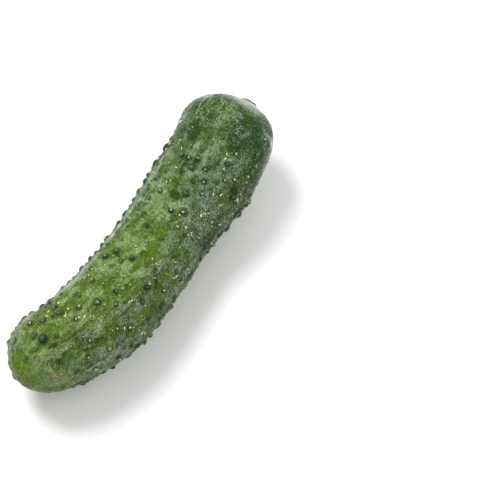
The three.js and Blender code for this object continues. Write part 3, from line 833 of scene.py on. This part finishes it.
def makeSkinMaterial():
    look = skinLook
    material, tree, shader, place = newMaterial("cucumberSkin")
    wart, nearWart, shade, pimple = (painted(tree, n) for n in ("wart", "nearWart", "shade", "pimple"))
    fresh, dusty, rubbed, deepGreenAndShade = (painted(tree, n) for n in ("fresh", "dusty", "rubbed", "deepGreenAndShade"))
    waxed, scuffed, glossAndPaintedSheen, ridgeShine = (painted(tree, n) for n in ("waxed", "scuffed", "glossAndPaintedSheen", "ridgeShine"))
    rounded = addNode(tree, "ShaderNodeAttribute", attribute_name="round").outputs["Vector"]
    distance = addNode(tree, "ShaderNodeSeparateXYZ", {"Vector": rounded}).outputs[0]
    longPlace = stretched(tree, place, (0.6, 1, 1))

    patches = cloud(tree, longPlace, 0.2, 4, 0.55, 0.8)
    darker = cloud(tree, longPlace, 0.3, 5, 0.62, 0.5)
    middle = cloud(tree, place, 0.42, 4, 0.58, 0.5)
    small = cloud(tree, place, 1.0, 4, 0.65)
    grain = cloud(tree, place, 2.4, 2, 0.8)
    haze = cloud(tree, stretched(tree, place, (0.75, 1, 1), (40, 0, 9)), 0.15, 3, 0.5, 0.6)
    streaks = cloud(tree, stretched(tree, rounded, (0.012, 2.4, 2.4)), 2.2, 4, 0.6, 0.3)
    lines = cloud(tree, stretched(tree, rounded, (0.06, 18, 18)), 1.5, 3, 0.6, 0.5)
    veins = cloud(tree, stretched(tree, place, (0.7, 1, 1), (3, 50, 0)), 0.42, 4, 0.6, 1.2)
    veins = ease(tree, calc(tree, "ABSOLUTE", calc(tree, "SUBTRACT", veins, 0.5)), 0.04, 0.0)

    capShare = ease(tree, plus(tree, distance, times(tree, patches, 16)), 114, 128)
    blossomShare = ease(tree, distance, 20, 3)
    grainy = most(tree, dusty, capShare)

    # green under the wax
    vividShare = plus(tree, patches, times(tree, fresh, 0.16))
    vividShare = most(tree, ease(tree, vividShare, 0.54, 0.74, 0, 0.5), times(tree, rubbed, 0.88))
    colour = blend(tree, ease(tree, fresh, 0.25, 0.95), look["green"], look["fresh"])
    colour = blend(tree, vividShare, colour, look["vivid"])
    colour = blend(tree, ease(tree, blossomShare, 0, 1, 0, 0.7), colour, look["blossomEnd"])
    colour = blend(tree, ease(tree, distance, 4.5, 0.5, 0, 0.6), colour, look["tip"])
    # deep green, partly painted shade along the outlines
    darkShare = most(tree, ease(tree, darker, 0.52, 0.68, 0, 0.48), times(tree, deepGreenAndShade, 0.8))
    colour = blend(tree, darkShare, colour, look["deep"])
    capMix = times(tree, capShare, ease(tree, middle, 0.36, 0.64, 1, 0.5))
    colour = blend(tree, capMix, colour, look["cap"])
    streakShare = times(tree, ease(tree, streaks, 0.5, 0.68, 0, 0.3), ease(tree, distance, 60, 10))
    colour = blend(tree, streakShare, colour, look["fleck"])

    # whitish wax, rubbed off in places
    follows = {"haze": haze, "middle": middle, "small": small, "streaks": streaks, "fresh": fresh}
    wax = plus(tree, *(times(tree, follows[name], share) for name, share in skinFinish["wax"].items()))
    wax = ease(tree, wax, skinFinish["waxFrom"], skinFinish["waxFull"])
    wax = most(tree, wax, times(tree, waxed, ease(tree, middle, 0.3, 0.6, 0.6, 1)))
    wax = times(tree, wax, ease(tree, distance, 125, 130, 1, 0.3))
    for bare, left in ((rubbed, 0.08), (deepGreenAndShade, 0.3), (capShare, 0.4), (blossomShare, 0.25)):
        wax = times(tree, wax, ease(tree, bare, 0, 1, 1, left))
    waxGrain = times(tree, ease(tree, grain, 0.38, 0.6, 0.9, 0), grainy)
    waxShare = times(tree, wax, calc(tree, "SUBTRACT", 0.88, waxGrain))
    bloomColour = blend(tree, ease(tree, fresh, 0.25, 0.95), look["bloom"], look["freshBloom"])
    bloomColour = blend(tree, dusty, bloomColour, look["dust"])
    colour = blend(tree, waxShare, colour, bloomColour)
    veinShare = times(tree, veins, ease(tree, haze, 0.48, 0.66, 0.0, 0.45),
                      ease(tree, rubbed, 0, 0.6, 1, 0))
    colour = blend(tree, veinShare, colour, look["wax"])
    # painted highlight: the shiny lines lightened toward the pale wax colour
    paintedShine = times(tree, ridgeShine, most(tree, ease(tree, lines, 0.38, 0.52), capShare))
    colour = blend(tree, paintedShine, colour, look["wax"])
    # painted grey sheen: a reflection painted into the colour
    paintedSheenShare = times(tree, glossAndPaintedSheen, ease(tree, middle, 0.35, 0.6, 0.2, 0.42))
    colour = blend(tree, paintedSheenShare, colour, look["paintedSheen"])

    # warts, a pale collar and the darker skin round them
    collar = times(tree, ease(tree, nearWart, 0.02, 0.12), ease(tree, nearWart, 0.4, 0.16),
                   ease(tree, haze, 0.42, 0.6, 0.0, 0.6), ease(tree, capShare, 0, 1, 1, 0.15),
                   ease(tree, rubbed, 0, 1, 1, 0.15))
    colour = blend(tree, collar, colour, bloomColour)
    halo = times(tree, ease(tree, nearWart, 0.25, 0.85), ease(tree, middle, 0.4, 0.6, 0.15, 0.6))
    colour = blend(tree, halo, colour, look["deep"])
    ring = times(tree, ease(tree, wart, 0.06, 0.6), ease(tree, wart, 0.97, 0.7, 0.45, 1), shade)
    ring = most(tree, ring, ease(tree, pimple, 0.05, 0.7, 0, 0.4))
    ring = times(tree, ring, ease(tree, small, 0.38, 0.62, 1, 0.75))
    colour = blend(tree, ring, colour, look["wart"])
    topShare = times(tree, ease(tree, wart, 0.81, 0.98), ease(tree, small, 0.42, 0.6, 0.3, 0.95))
    colour = blend(tree, topShare, colour, look["wartTop"])

    # corky scratches
    corky = times(tree, scuffed, ease(tree, grain, 0.4, 0.58, 0.15, 0.95))
    colour = blend(tree, corky, colour, look["corky"])

    # grain over all, and pale pores on it
    tone = calc(tree, "SUBTRACT", ease(tree, grain, 0.38, 0.62, 0, 1), 0.5)
    tone = times(tree, tone, ease(tree, rubbed, 0, 1, 1, 0.5), ease(tree, grainy, 0, 1, 0.88, 1.22))
    tone = times(tree, plus(tree, tone, 1.0), ease(tree, small, 0.3, 0.7, 0.82, 1.2))
    toneColour = addNode(tree, "ShaderNodeCombineColor", {  # steeper in blue: grains look grey
        "Red": calc(tree, "POWER", tone, 1.2), "Green": tone,
        "Blue": calc(tree, "POWER", tone, 1.5)}).outputs[0]
    colour = blend(tree, 1.0, colour, toneColour, "MULTIPLY")
    dots = addNode(tree, "ShaderNodeTexVoronoi", {"Vector": place, "Scale": 1.15, "Randomness": 1.0})
    pick = addNode(tree, "ShaderNodeSeparateColor", {"Color": dots.outputs["Color"]}).outputs[0]
    dotShare = times(tree, ease(tree, dots.outputs["Distance"], 0.3, 0.18), ease(tree, pick, 0.5, 0.9),
                     ease(tree, grainy, 0, 1, 0.35, 1))
    colour = blend(tree, dotShare, colour, look["fleck"])

    # gloss and fine relief
    roughness = ease(tree, wax, 0, 1, *skinFinish["roughness"])
    roughness = calc(tree, "SUBTRACT", roughness, times(tree, wart, 0.14))
    roughness = calc(tree, "SUBTRACT", roughness, times(tree, ridgeShine, 0.15))
    roughness = calc(tree, "MULTIPLY", roughness, ease(tree, capShare, 0, 1, 1, 0.4), True)
    coat = most(tree, ease(tree, capShare, 0, 1, 0.0, 0.05), ease(tree, ridgeShine, 0.2, 1, 0, 0.35),
                ease(tree, glossAndPaintedSheen, 0, 1, 0, 0.9), ease(tree, wart, 0.1, 0.7, 0, 0.25))
    put(tree, shader.inputs["Coat Weight"], coat)
    rises = times(tree, ease(tree, capShare, 0, 1, 1, 0.15), ease(tree, ridgeShine, 0.1, 0.8, 1, 0.45),
                  ease(tree, rubbed, 0, 1, 1, 0.65))
    relief = {"middle": times(tree, middle, rises), "small": times(tree, small, rises), "veins": veins,
              "grain": times(tree, grain, rises), "pores": ease(tree, dots.outputs["Distance"], 0.05, 0.3)}
    finish(tree, shader, colour, roughness,
           [(relief[name], depth) for name, depth in skinFinish["bumps"].items()], skinFinish["constants"])
    return material


spineLook = {"foot": "#9f9667", "pale": "#f2ebcd", "straw": "#e6d49c"}
fleckLook = {"foot": "#bcb777", "pale": "#efedcc", "straw": "#d6d496"}
stemLook = {"rim": "#a3a25a", "inside": "#867e4d", "dark": "#544826", "around": "#1f330d"}
blossomLook = {"rim": "#8a7850", "inside": "#644a2c", "dark": "#35261a", "around": "#44520f"}


def makeSpineMaterial(name, look):
    material, tree, shader, place = newMaterial(name)
    grain = cloud(tree, place, 3.0, 3)
    colour = blend(tree, painted(tree, "tint"), look["pale"], look["straw"])
    colour = blend(tree, ease(tree, painted(tree, "tip"), 0.45, 0.12), colour, look["foot"])
    colour = blend(tree, ease(tree, grain, 0.45, 0.7, 0, 0.35), colour, look["foot"])
    finish(tree, shader, colour, ease(tree, grain, 0.3, 0.7, 0.45, 0.65), [(grain, 0.02)])
    return material


def makeScarMaterial(name, look):
    material, tree, shader, place = newMaterial(name)
    blotches = cloud(tree, place, 0.9, 4, 0.6)
    fibre = cloud(tree, place, 2.2, 6, 0.7)
    fine = cloud(tree, place, 5, 4, 0.7)
    colour = blend(tree, painted(tree, "rim"), look["around"], look["rim"])
    colour = blend(tree, painted(tree, "inside"), colour, look["inside"])
    colour = blend(tree, ease(tree, blotches, 0.42, 0.62, 0, 0.5), colour, look["dark"])
    colour = blend(tree, ease(tree, painted(tree, "fibres"), 0.05, -0.3, 0, 0.75), colour, look["dark"])
    colour = blend(tree, ease(tree, fibre, 0.45, 0.68, 0, 0.6), colour, look["dark"])
    colour = blend(tree, ease(tree, painted(tree, "dots"), 0.25, 0.8, 0, 0.7), colour, look["dark"])
    colour = blend(tree, ease(tree, painted(tree, "crevice"), 0.2, 0.9, 0, 0.85), colour, look["around"])
    finish(tree, shader, colour, ease(tree, fine, 0.3, 0.7, 0.65, 0.9), [(fibre, 0.15), (fine, 0.06)])
    return material


def dress(piece, material):
    piece.data.materials.clear()
    piece.data.materials.append(material)
    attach(piece, "root")


dress(skinPiece, makeSkinMaterial())
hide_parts("fruit")
dress(spinePiece, makeSpineMaterial("spineCream", spineLook))
dress(fleckPiece, makeSpineMaterial("fleckStraw", fleckLook))
dress(stemPiece, makeScarMaterial("stemCork", stemLook))
dress(blossomPiece, makeScarMaterial("blossomCork", blossomLook))
print("materials done")


# floor, light and camera
studio = {
    "floorSize": 4.0,
    "floor": "#f8f8f7",
    "world": (0.9, 0.62),  # at the horizon and overhead
    "sides": (0.85, 1.12),  # away from the brighter side and towards it
    "lamps": {  # place, size across and power
        "key": ((0.05, 0.62, 0.98), 0.5, 10.6),
        "fill": ((0.7, -0.5, 0.7), 0.6, 3.0),
        "strip": ((0.85, 0.35, 0.2), 0.6, 1.5),
    },
}
camera = {
    "azimuth": -51,
    "elevation": 68,
    "distance": 0.8,
    "lens": 167.2,
    "aim": (0.0363, -0.001),  # metres right and up of the fruit's middle
}


def makeStudio():
    cleanSlate()
    bpy.ops.mesh.primitive_plane_add(size=studio["floorSize"], location=(0, 0, -0.0001))
    floor = bpy.context.object
    floor.name = "floor"
    material, tree, shader, place = newMaterial("floorPaper")
    weave = cloud(tree, place, 0.8, 4)
    finish(tree, shader, studio["floor"], 0.9, [(weave, 0.02)])
    floor.data.materials.append(material)

    world = bpy.data.worlds.new("studio")
    world.use_nodes = True
    tree = world.node_tree  # brighter round the horizon than overhead
    way = addNode(tree, "ShaderNodeTexCoord").outputs["Generated"]
    upward = addNode(tree, "ShaderNodeSeparateXYZ", {"Vector": way}).outputs[2]
    sideways = addNode(tree, "ShaderNodeVectorMath", {0: way, 1: (0.5, 0.87, 0)},
                       operation="DOT_PRODUCT").outputs["Value"]
    strength = times(tree, ease(tree, upward, 0.0, 0.8, *studio["world"]),
                     ease(tree, sideways, -1, 1, *studio["sides"]))
    put(tree, tree.nodes["Background"].inputs["Strength"], strength)
    put(tree, tree.nodes["Background"].inputs["Color"], "#ffffff")
    bpy.context.scene.world = world


def addSoftLight(name, place, size, power):
    bpy.ops.object.light_add(type="AREA", location=place)
    light = bpy.context.object
    light.name = name
    light.data.shape = "DISK"
    light.data.size = size
    light.data.energy = power
    light.rotation_euler = (-Vector(place)).to_track_quat("-Z", "Y").to_euler()


def addCamera():
    around, above = radians(camera["azimuth"]), radians(camera["elevation"])
    back = Vector((sin(around) * cos(above), -cos(around) * cos(above), sin(above)))  # to the camera
    right = Vector((0, 0, 1)).cross(back).normalized()
    up = back.cross(right)
    low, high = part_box("fruit")
    middle = (Vector(low) + Vector(high)) / 2
    place = middle + back * camera["distance"]
    aim = middle + right * camera["aim"][0] + up * camera["aim"][1]
    bpy.ops.object.camera_add(location=place)
    shot = bpy.context.object
    shot.name = "camera"
    level = (-back).to_track_quat("-Z", "Y")
    swing = (-back).rotation_difference(aim - place)  # turns to the aim without tilting
    shot.rotation_euler = (swing @ level).to_euler()
    shot.data.lens = camera["lens"]
    shot.data.sensor_width = 36
    shot.data.clip_start = 0.01
    bpy.context.scene.camera = shot


makeStudio()
for name, (place, size, power) in studio["lamps"].items():
    addSoftLight(name, place, size, power)
addCamera()
bpy.context.scene.view_settings.view_transform = "Standard"
